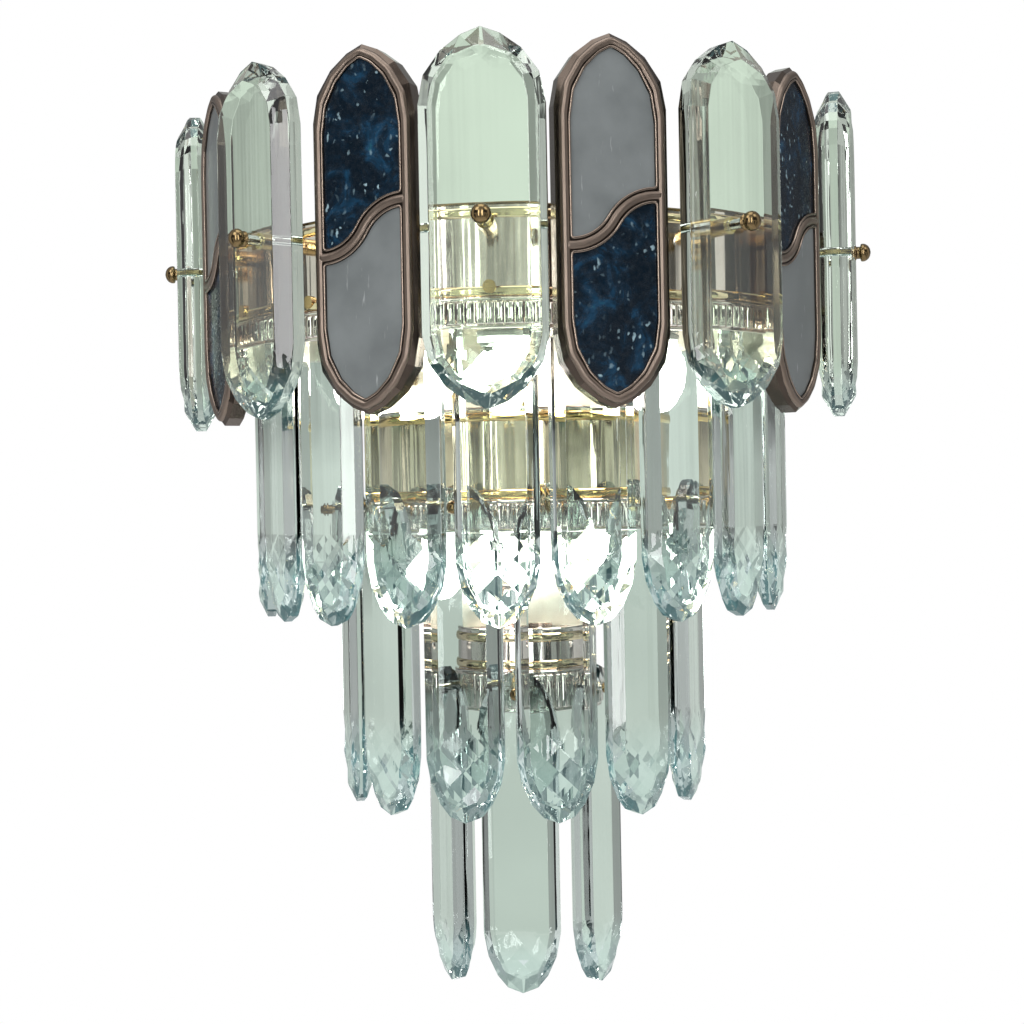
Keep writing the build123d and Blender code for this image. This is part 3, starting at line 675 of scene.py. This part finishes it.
def screw(centre, seat, length):
    """A screw along Y: a domed head with a cross slot, and a shank whose radius follows a helix."""
    a = np.linspace(0, 2 * np.pi, 32, endpoint=False)
    share = np.array([0.02, 0.15, 0.3, 0.42, 0.5, 0.58, 0.7, 0.85, 0.95, 1.0])[:, None]
    x, z = share * np.cos(a), share * np.sin(a)
    dome = HEAD_HEIGHT * (0.45 + 0.55 * np.sqrt(1 - share**2 + 0 * a))
    slot = (np.minimum(np.abs(x), np.abs(z)) < 0.14) & (share < 0.62)
    top = np.stack([x * HEAD_RADIUS, dome - 0.55 * HEAD_HEIGHT * slot, z * HEAD_RADIUS], -1)
    s = np.arange(0, length, THREAD_PITCH / 6)[:, None]
    thread = 1 - 0.16 * (0.5 + 0.5 * np.cos(2 * np.pi * s / THREAD_PITCH - a))
    r = SHANK_RADIUS * (thread * np.clip((length - s) / 1.2, 0.3, 1))
    shank = np.stack([r * np.cos(a), -s + 0 * a, r * np.sin(a)], -1)
    rim = np.stack([HEAD_RADIUS * np.cos(a), 0 * a, HEAD_RADIUS * np.sin(a)], -1)[None]
    x, y, z = np.moveaxis(np.concatenate([top, rim, shank]), -1, 0)
    return np.stack([centre[0] + x, -seat - y, centre[1] + z], -1)


def domed_nut(centre, out, start, size):
    """A domed nut: washer, neck and rim as steps of a profile, then an ellipse, turned about its pin."""
    t = np.linspace(0, 0.995, 14)
    dome = np.stack([4.15 * np.sqrt(1 - t**2), 3.8 + 3.6 * t], -1)
    r, s = (np.concatenate([NUT_STEPS, dome]) * size).T
    a = np.linspace(0, 2 * np.pi, 32, endpoint=False)[:, None]
    ring = np.cos(a) * np.array([-out[1], out[0], 0.0]) + np.sin(a) * np.array([0.0, 0.0, 1.0])
    return centre + (start + s)[:, None, None] * out + r[:, None, None] * ring


def nut_places():
    """Pins that carry the bars: place, way to the nut, distance to the bar's face and size of the nut."""
    spots = []
    for bar, centre, out in hinges():
        way = -out if bar.startswith("second") else out
        spots.append((centre / MM, way, *(UPPER_NUT if bar.startswith("upper") else LOWER_NUT)))
    return spots


def screw_places():
    """Centres (x, z) of the pan screws: four on each drum's flanges and two on each lip."""
    spots = []
    for name in ("upper", "middle", "lower"):
        low, high = np.array(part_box(f"{name}_drum")) / MM
        inner = high[0] - DRUM_WALL
        drop = 0.2 * (high[2] - low[2])
        spots += [(inner - FLANGE_MIDDLE, z) for z in (low[2] + drop, high[2] - drop)]
    plate = np.array(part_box("top_plate"))[1] / MM
    spots.append(((plate[0] + PLATE_PLAY) * 0.5, plate[2] - SHEET - LIP_MIDDLE))
    for name in ("upper_deck", "middle_deck", "lower_deck"):
        low, high = np.array(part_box(name)) / MM
        x = inner * 0.25 if name == "lower_deck" else high[0] * 0.5
        spots.append((x, low[2] + (SHEET + LIP_MIDDLE)))
    return [(side * x, z) for x, z in spots for side in (1, -1)]


class LAMP_OT_glass(bpy.types.Operator):
    """Dresses the bars of all four tiers in cut glass"""

    bl_idname = "lamp.glass"
    bl_label = "Glass bars"

    def execute(self, context):
        settings = context.scene.lamp_glass
        # Prefix of the bars' names, tint, reach of the cuts and share of the depth that they take
        tiers = (
            ("upper_glass", settings.upper_tint, 0.026, 0.2),
            ("second_glass", settings.lower_tint, 0.04, 0.28),
            # Painted shade: the third and bottom tiers take the lower tint darkened, by 0.85 and 0.89
            ("third_glass", shade(settings.lower_tint, 0.85), 0.044, 0.28),
            ("bottom_glass", shade(settings.lower_tint, 0.89), 0.03, 0.22),
        )
        for prefix, tint, reach, share in tiers:
            low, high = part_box(f"{prefix}_1")
            glass = cut_glass(f"{prefix}_finish", tint, low[2], reach)
            zones = [(low[2], reach, share)]
            if prefix == "upper_glass":
                zones.append((high[2], *CROWN_ZONE))
            for name, centre, out in hinges():
                if name.startswith(prefix):
                    dress(glass, name)
                    bar = cut_bar(name, centre, out, zones, settings.edge)
                    piece(f"{name}_cut", [bar], name, glass, smooth=False, replaces=[name])
        return {"FINISHED"}


class LAMP_OT_panels(bpy.types.Operator):
    """Dresses the framed panels and their inlays"""

    bl_idname = "lamp.panels"
    bl_label = "Panels"

    def execute(self, context):
        metal = context.scene.lamp_metal
        inlay = context.scene.lamp_inlay
        dark = polished_metal("bronze_frame", metal.bronze, 0.14, 0.28, 0.00004)
        # Painted highlight and sheen: the beads take the frame's bronze 2.8 times as bright, the mouldings
        # twice as bright
        bright = polished_metal("bronze_bead_painted_highlight", shade(metal.bronze, 2.8), 0.12, 0.22, 0.00002)
        painted_sheen_bronze = polished_metal("bronze_moulding_painted_sheen", shade(metal.bronze, 2.0), 0.3, 0.44, 0.00003)
        brass = polished_metal("pressed_brass", shade(metal.gold, 0.85), 0.12, 0.26, 0.00004)
        dress(dark, *tier("panel_frame"))
        beads = [bead(inset=5.6, half_band=2.8, radius=0.55, stand=5.0, way=way) for way in (1, -1)]
        border = flat_bead(outline(inset=3.5), radius=2.0, stand=3.7)
        middle = divider_moulding(radius=2.6, stand=3.1)
        for index, angle in enumerate(PANEL_ANGLES, 1):
            place = (PANEL_RADIUS, angle, PANEL_Z)
            parts = [skin(placed(ring, *place), True, True) for ring in beads]
            piece(f"panel_beads_{index}", parts, "frame", bright)
            parts = [skin(placed(border, *place), True, True), closed(placed(middle, *place))]
            piece(f"panel_moulding_{index}", parts, "frame", painted_sheen_bronze)
            plate = closed(placed(back_plate(), *place))
            piece(f"panel_back_plate_{index}", [plate], "frame", brass, smooth=False)
        deep, teal, fleck = shade(inlay.blue, 0.14), (0.016, 0.105, 0.12), (0.26, 0.38, 0.43)
        dress(blue_flake("blue_flake", deep, inlay.blue, teal, fleck), "blue_inlays")
        dress(grey_stone("grey_stone", inlay.grey, scratch=(0.6, 0.62, 0.62)), "grey_inlays")
        return {"FINISHED"}


class LAMP_OT_metalwork(bpy.types.Operator):
    """Dresses the drums, decks, pan, pins and nuts"""

    bl_idname = "lamp.metalwork"
    bl_label = "Metalwork"

    def execute(self, context):
        gold, brass = context.scene.lamp_metal.gold, context.scene.lamp_metal.brass
        # Painted reflections: each drum's sheet takes the same gold under its own tint
        for name, painted_tint in SHEET_REFLECTION_TINTS.items():
            colour = tuple(min(1.0, part * share) for part, share in zip(gold, painted_tint))
            sheet = polished_metal(f"{name}_gold_sheet_painted_reflection", colour, 0.05, 0.16, 0.0001, 0.0006)
            dress(sheet, f"{name}_deck", f"{name}_drum", *(["top_plate"] if name == "upper" else []))
        dress(polished_metal("satin_brass", (0.74, 0.69, 0.6), 0.28, 0.42, 0.00006), "back_pan")
        turned_brass = polished_metal("turned_brass", brass, 0.1, 0.22, 0.00002)
        bright = polished_metal("bright_band", (0.88, 0.81, 0.76), 0.02, 0.08, 0.00002)
        pale = polished_metal("pale_hoop", (0.94, 0.78, 0.52), 0.06, 0.16, 0.00006, 0.0003)
        yellow = polished_metal("yellow_hoop", (1.0, 0.74, 0.32), 0.06, 0.16, 0.00006, 0.0003)
        for name, band in BAND_HEIGHTS.items():
            low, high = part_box(f"{name}_drum")
            trim = drum_trim((high[0] - low[0]) / 2 / MM, low[2] / MM, high[2] / MM, band)
            own = {
                "drum_rim": turned_brass if name == "upper" else bright,
                "drum_hoops": yellow if name == "middle" else pale,
            }
            for kind, rings in trim.items():
                parts = [closed(ring) for ring in rings]
                piece(f"{name}_{kind}", parts, "frame", own.get(kind, bright))
        dress(turned_brass, "ball_nuts", "wall_cap_nuts")
        nuts = [closed(domed_nut(*spot)) for spot in nut_places()]
        piece("domed_nuts", nuts, "frame", turned_brass, replaces=["ball_nuts"])
        rod = polished_metal("drawn_rod", shade(brass, 3.2), 0.12, 0.26, 0.00002)
        dress(rod, "threaded_pins", "spacer_sleeves", "conduit_tube")
        steel = polished_metal("zinc_steel", (0.6, 0.6, 0.6), 0.25, 0.45, 0.00002)
        dress(steel, "wall_bracket", "bracket_studs", "pan_screws", "earth_screw")
        screws = [closed(screw(spot, *PAN_SCREW)) for spot in screw_places()]
        piece("cross_slot_screws", screws, "frame", steel, replaces=["pan_screws"])
        low, high = np.array(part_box("earth_screw")) / MM
        spot = ((low[0] + high[0]) / 2, (low[2] + high[2]) / 2)
        earth = closed(screw(spot, *EARTH_SCREW))
        piece("cross_slot_earth_screw", [earth], "frame", steel, replaces=["earth_screw"])
        return {"FINISHED"}


class LAMP_OT_lamps(bpy.types.Operator):
    """Dresses the bulbs, holders and wiring"""

    bl_idname = "lamp.lamps"
    bl_label = "Lamps"

    def execute(self, context):
        settings = context.scene.lamp_lamps
        opal = lit_opal("lit_opal", settings.glow, settings.strength)
        base = plain_body("bulb_base", (0.8, 0.79, 0.76), 0.3, 0.5, 700.0, 0.00002)
        wire = polished_metal("contact_wire", (0.66, 0.64, 0.6), 0.2, 0.4, 0.00001)
        glass_length = BULB_HEIGHT - RING_HEIGHT
        for bulb in (*tier("upper_bulb"), *tier("lower_bulb")):
            dress(opal, bulb)
            low, high = np.array(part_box(bulb)) / MM
            centre = (low + high)[:2] / 2
            top, roof = low[2] + BULB_HEIGHT, high[2] - CONTACT_LENGTH
            envelope = globe(centre, top - RING_HEIGHT, glass_length, GLASS_RADIUS, COLLAR_RADIUS)
            piece(f"{bulb}_globe", [closed(envelope)], bulb, opal, replaces=[bulb])
            ring = cap(centre, top - RING_GRIP, top, RING_RADIUS)
            foot = plug(centre, top - SUNK, roof, PLUG_WIDTH, PLUG_DEPTH)
            piece(f"{bulb}_base", [closed(ring), closed(foot)], bulb, base)
            loops = []
            for leg in (centre + (CONTACT_X, 0), centre - (CONTACT_X, 0)):
                loop = contact(leg, roof - SUNK, roof + CONTACT_LENGTH, CONTACT_GAP, CONTACT_WIRE)
                loops.append(closed(loop))
            piece(f"{bulb}_contacts", loops, bulb, wire)
        dress(plain_body("glazed_ceramic", (0.86, 0.85, 0.81), 0.15, 0.3, 600.0, 0.00002), "lampholders")
        dress(plain_body("white_plastic", (0.82, 0.82, 0.8), 0.4, 0.6, 900.0, 0.00003), "terminal_block")
        dress(plain_body("lead_sheath", (0.75, 0.74, 0.7), 0.5, 0.7, 1200.0, 0.00004), "lamp_leads")
        dress(plain_body("black_rubber", (0.03, 0.03, 0.03), 0.6, 0.8, 1500.0, 0.00005), "cable_grommet")
        return {"FINISHED"}


class LAMP_OT_stage(bpy.types.Operator):
    """Makes the floor, the room, the soft lights and the camera"""

    bl_idname = "lamp.stage"
    bl_label = "Stage"

    def execute(self, context):
        settings = context.scene.lamp_stage
        scene = context.scene
        scene.view_settings.view_transform = "Standard"
        make_floor(settings.floor_z, settings.floor_radius)
        make_world(scene)
        for light in SOFTBOXES:
            softbox(*light)
        make_camera(scene)
        return {"FINISHED"}


# Stage, in metres
FLOOR_Y = -0.1  # the floor's middle lies under the lamp
LIGHT_TARGET = (0, FLOOR_Y, -0.08)
# Soft lights: name, place, width, height and power
SOFTBOXES = (
    ("key_light", (-0.8, -1.0, 1.1), 0.8, 0.8, 7.0),
    ("fill_light", (1.1, -0.7, 1.2), 0.7, 0.7, 4.0),
    ("top_light", (0.0, -0.3, 1.4), 0.9, 0.9, 6.0),
    ("left_strip", (-0.49, -1.53, 0.1), 0.17, 1.4, 6.5),
    ("right_strip", (0.39, -1.57, 0.1), 0.17, 1.4, 6.5),
)
CAMERA_PLACE = (0.06557, -0.81463, -0.06237)
CAMERA_TURNS = (("Z", 4.985), ("X", -0.335), ("Y", 1.113), ("X", 90))
CAMERA_LENS, CAMERA_SENSOR = 57.51, 36.0
BLACK, WHITE = (0.0, 0.0, 0.0), (1.0, 1.0, 1.0)
WALL_COLOUR = (0.92, 1.0, 0.915)  # of the wall behind the lamp
FAR_GREY = (0.55, 0.55, 0.55)  # of the room straight above and below
EVEN_GREY = (0.7, 0.7, 0.7)  # of the light that dull surfaces get
# Brightness of the room that metal and glass mirror, by angle from straight in front, at three levels:
# above eye level, at eye level and below it
HIGH_ROOM = (
    (-174, 0.9), (-170, 0.66), (-164, 0.36), (-152, 0.32), (-144, 0.5), (-140, 0.12), (-129, 0.12),
    (-124, 0.6), (-104, 0.35), (-98, 0.95), (-78, 0.95), (-73, 0.15), (-57, 0.06), (-30, 0.06),
    (-26, 0.95), (-11, 1.0), (-2, 0.45), (7, 1.0), (24, 1.0), (27, 0.06), (47, 0.06), (70, 0.15),
    (76, 0.95), (98, 0.9), (104, 0.35), (113, 0.6), (118, 0.12), (131, 0.12), (136, 0.5), (168, 0.34),
    (174, 0.62), (180, 0.88),
)
LOW_ROOM = (
    (-174, 0.9), (-168, 0.84), (-162, 0.6), (-152, 0.38), (-125, 0.6), (-104, 0.35), (-98, 0.95),
    (-78, 0.95), (-73, 0.25), (-67, 0.25), (-63, 1.0), (-40, 1.0), (-37, 0.35), (-32, 0.35), (-29, 1.0),
    (-11, 1.0), (-2, 0.65), (7, 1.0), (27, 1.0), (30, 0.35), (35, 0.35), (38, 1.0), (60, 1.0),
    (63, 0.25), (70, 0.25), (76, 0.95), (98, 0.9), (104, 0.35), (125, 0.6), (152, 0.4), (175, 0.55),
    (180, 0.88),
)
DEEP_ROOM = (
    (-174, 0.9), (-168, 0.84), (-162, 0.6), (-152, 0.38), (-125, 0.6), (-104, 0.35), (-98, 0.95),
    (-78, 0.95), (-73, 0.06), (-52, 0.06), (-48, 0.9), (-40, 0.9), (-37, 0.12), (-23, 0.12), (-20, 0.95),
    (-12, 1.0), (-9, 0.1), (-1, 0.1), (2, 0.95), (9, 1.0), (12, 0.12), (25, 0.12), (28, 0.95),
    (36, 0.95), (39, 0.06), (54, 0.06), (57, 0.9), (64, 0.9), (68, 0.1), (98, 0.9), (125, 0.6),
    (180, 0.88),
)


def make_floor(height, radius):
    """A flat grid of points under the lamp, which fades to the white background with distance."""
    line = np.linspace(-radius, radius, 25)
    x, y = np.meshgrid(line, line, indexing="ij")
    corners, faces = skin(np.stack([x, y + FLOOR_Y, np.full_like(x, height)], -1))
    mesh = bpy.data.meshes.new("floor")
    mesh.from_pydata(corners, [], faces)
    floor = bpy.data.objects.new("floor", mesh)
    bpy.context.scene.collection.objects.link(floor)
    pale = Finish("pale_floor")
    cloud = pale.ramp(pale.noise(8.0), (0.4, (0.84, 0.84, 0.84)), (0.6, (0.88, 0.88, 0.88)))
    pale.set(Base_Color=cloud, Roughness=0.8)
    centred = pale.add("ShaderNodeMapping", Vector=pale.place, Location=(0, -FLOOR_Y, -height))
    away = pale.add("ShaderNodeVectorMath", {"operation": "LENGTH"})
    pale.feed(away.inputs[0], centred.outputs["Vector"])
    edge = pale.span(away.outputs["Value"], 0.0, 1.0, radius * 0.45, radius * 0.95)
    white = pale.add("ShaderNodeEmission", Color=(*WHITE, 1), Strength=1.0)
    fade = pale.mix_shaders(edge, pale.shader.outputs[0], white.outputs[0])
    pale.feed(pale.tree.nodes["Material Output"].inputs["Surface"], fade)
    mesh.materials.append(pale.mat)


def make_world(scene):
    """A pale wall behind the lamp and a room with bright windows, as metal and glass see them.

    Dull surfaces get even light, and the camera sees white.
    """
    world = bpy.data.worlds.new("soft_room")
    scene.world = world
    world.use_nodes = True
    made = Nodes(world.node_tree)
    made.tree.nodes.clear()
    way = made.add("ShaderNodeTexCoord").outputs["Generated"]
    x, y, z = made.add("ShaderNodeSeparateXYZ", Vector=way).outputs
    angle = made.calc("ARCTAN2", x, made.calc("MULTIPLY", y, -1.0))
    turn = made.span(angle, 0.0, 1.0, -np.pi, np.pi)
    high, low, deep = [
        made.ramp(turn, *[(degrees / 360 + 0.5, (level,) * 3) for degrees, level in room])
        for room in (HIGH_ROOM, LOW_ROOM, DEEP_ROOM)
    ]
    low = made.mix(made.span(z, 0.0, 1.0, -0.07, -0.04), deep, low)
    bands = made.mix(made.span(z, 0.0, 1.0, 0.02, 0.05), low, high)
    height = made.span(z, 0.0, 1.0, -1.0, 1.0)
    middle = made.ramp(height, (0.08, BLACK), (0.3, WHITE), (0.72, WHITE), (0.92, BLACK))
    wall = made.mix(made.span(y, 0.0, 1.0, 0.8, 0.94), WHITE, WALL_COLOUR)
    seen = made.mix(1.0, made.mix(middle, FAR_GREY, bands), wall, "MULTIPLY")
    room, plain, white = [
        made.add("ShaderNodeBackground", Color=colour).outputs[0]
        for colour in (seen, (*EVEN_GREY, 1), (*WHITE, 1))
    ]
    rays = made.add("ShaderNodeLightPath").outputs
    mirror = made.calc("MAXIMUM", rays["Is Glossy Ray"], rays["Is Transmission Ray"])
    lit = made.mix_shaders(mirror, plain, room)
    made.add("ShaderNodeOutputWorld", Surface=made.mix_shaders(rays["Is Camera Ray"], lit, white))


def softbox(name, place, width, height, power):
    """An area light turned towards the lamp."""
    light = bpy.data.lights.new(name, "AREA")
    light.shape = "RECTANGLE"
    light.size = width
    light.size_y = height
    light.energy = power
    box = bpy.data.objects.new(name, light)
    box.location = place
    box.rotation_euler = (Vector(LIGHT_TARGET) - Vector(place)).to_track_quat("-Z", "Y").to_euler()
    bpy.context.scene.collection.objects.link(box)


def make_camera(scene):
    """A camera in front of the lamp, a little to its right and turned back towards it."""
    data = bpy.data.cameras.new("camera")
    data.sensor_width = CAMERA_SENSOR
    data.lens = CAMERA_LENS
    camera = bpy.data.objects.new("camera", data)
    turn = Matrix.Identity(4)
    for axis, angle in CAMERA_TURNS:
        turn = turn @ Matrix.Rotation(radians(angle), 4, axis)
    camera.matrix_world = Matrix.Translation(CAMERA_PLACE) @ turn
    scene.collection.objects.link(camera)
    scene.camera = camera


class LAMP_PT_panel(bpy.types.Panel):
    """Lists the pieces of the wall lamp"""

    bl_label = "Wall Lamp"
    bl_idname = "LAMP_PT_panel"
    bl_space_type = "VIEW_3D"
    bl_region_type = "UI"
    bl_category = "Wall Lamp"

    def draw(self, context):
        for operator in OPERATORS:
            self.layout.operator(operator.bl_idname)


OPERATORS = (LAMP_OT_glass, LAMP_OT_panels, LAMP_OT_metalwork, LAMP_OT_lamps, LAMP_OT_stage)
GROUPS = {
    "lamp_glass": GlassSettings,
    "lamp_metal": MetalSettings,
    "lamp_inlay": InlaySettings,
    "lamp_lamps": LampSettings,
    "lamp_stage": StageSettings,
}


def register():
    for made in (*GROUPS.values(), *OPERATORS, LAMP_PT_panel):
        bpy.utils.register_class(made)
    for name, group in GROUPS.items():
        setattr(bpy.types.Scene, name, PointerProperty(type=group))


def unregister():
    for name in GROUPS:
        delattr(bpy.types.Scene, name)
    for made in (LAMP_PT_panel, *reversed(OPERATORS), *GROUPS.values()):
        bpy.utils.unregister_class(made)


def main():
    register()
    for operator in OPERATORS:
        group, name = operator.bl_idname.split(".")
        getattr(getattr(bpy.ops, group), name)()


if __name__ == "__main__":
    main()
